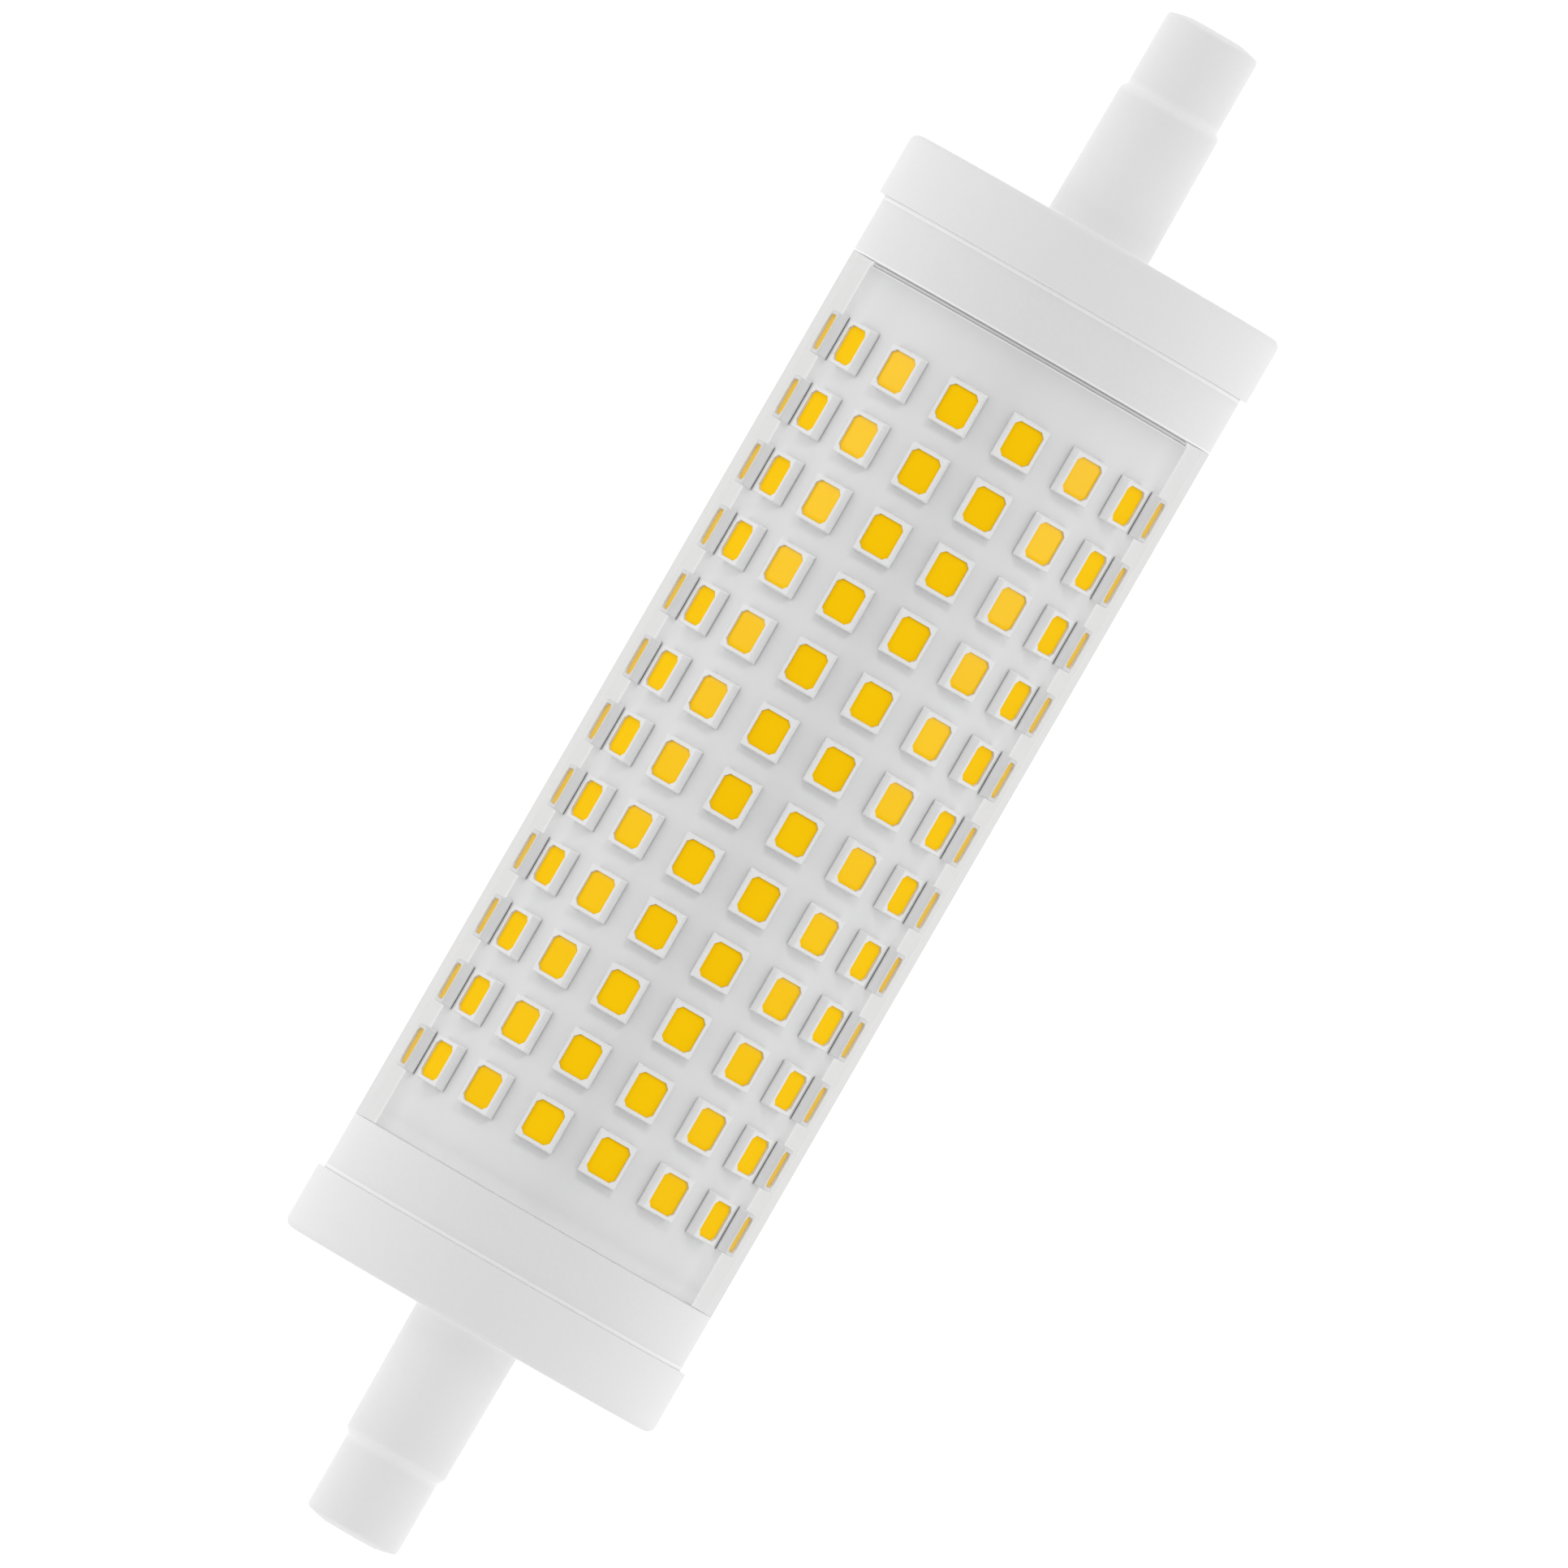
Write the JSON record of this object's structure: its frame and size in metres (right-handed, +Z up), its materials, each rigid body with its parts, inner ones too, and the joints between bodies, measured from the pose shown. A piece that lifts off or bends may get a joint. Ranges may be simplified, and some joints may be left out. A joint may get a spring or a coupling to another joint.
{
  "type": "linear led bulb",
  "caption": "Double-ended linear LED lamp: white end caps with slim necks, a clear tube, and rings of yellow LED packages on a rolled white board.",
  "frame": {"origin": "the middle of the lamp, on its axis", "axes": "+X along the lamp's axis, towards the end with the gap beside the LED board; +Z up, away from the board's seam"},
  "size_m": [0.118, 0.0288, 0.0288],
  "materials": {
    "white_moulding": "moulded, satin white",
    "clear_cover": "clear, polished",
    "contact_metal": "nickel plated",
    "core_ceramic": "fired, unglazed",
    "board_white": "white solder mask",
    "package_white": "moulded, matt white",
    "phosphor_yellow": "soft satin resin",
    "circuit_board": "green solder mask",
    "capacitor_can": "dark sleeve",
    "ferrite": "dull, pressed",
    "film_case": "moulded box",
    "fuse_body": "glazed rod",
    "chip_black": "moulded, matt black",
    "pin_metal": "tinned"
  },
  "bodies": {
    "root": {"cover_tube": "clear_cover", "end_cap_right": "white_moulding", "end_cap_left": "white_moulding", "contact_right": "contact_metal", "contact_left": "contact_metal", "core_tube": "core_ceramic", "led_board": "board_white", "driver_board": "circuit_board", "bulk_capacitor": "capacitor_can", "inductor": "ferrite", "film_capacitor": "film_case", "fuse": "fuse_body", "rectifier": "chip_black", "driver_chip": "chip_black", "supply_lead_right": "pin_metal", "supply_lead_left": "pin_metal", "feed_pin_minus": "pin_metal", "feed_pin_plus": "pin_metal", "led_column_01": "package_white", "phosphor_column_01": "phosphor_yellow", "led_column_02": "package_white", "phosphor_column_02": "phosphor_yellow", "led_column_03": "package_white", "phosphor_column_03": "phosphor_yellow", "led_column_04": "package_white", "phosphor_column_04": "phosphor_yellow", "led_column_05": "package_white", "phosphor_column_05": "phosphor_yellow", "led_column_06": "package_white", "phosphor_column_06": "phosphor_yellow", "led_column_07": "package_white", "phosphor_column_07": "phosphor_yellow", "led_column_08": "package_white", "phosphor_column_08": "phosphor_yellow", "led_column_09": "package_white", "phosphor_column_09": "phosphor_yellow", "led_column_10": "package_white", "phosphor_column_10": "phosphor_yellow", "led_column_11": "package_white", "phosphor_column_11": "phosphor_yellow", "led_column_12": "package_white", "phosphor_column_12": "phosphor_yellow", "led_column_13": "package_white", "phosphor_column_13": "phosphor_yellow", "led_column_14": "package_white", "phosphor_column_14": "phosphor_yellow", "led_column_15": "package_white", "phosphor_column_15": "phosphor_yellow", "led_column_16": "package_white", "phosphor_column_16": "phosphor_yellow"}
  },
  "joints": []
}
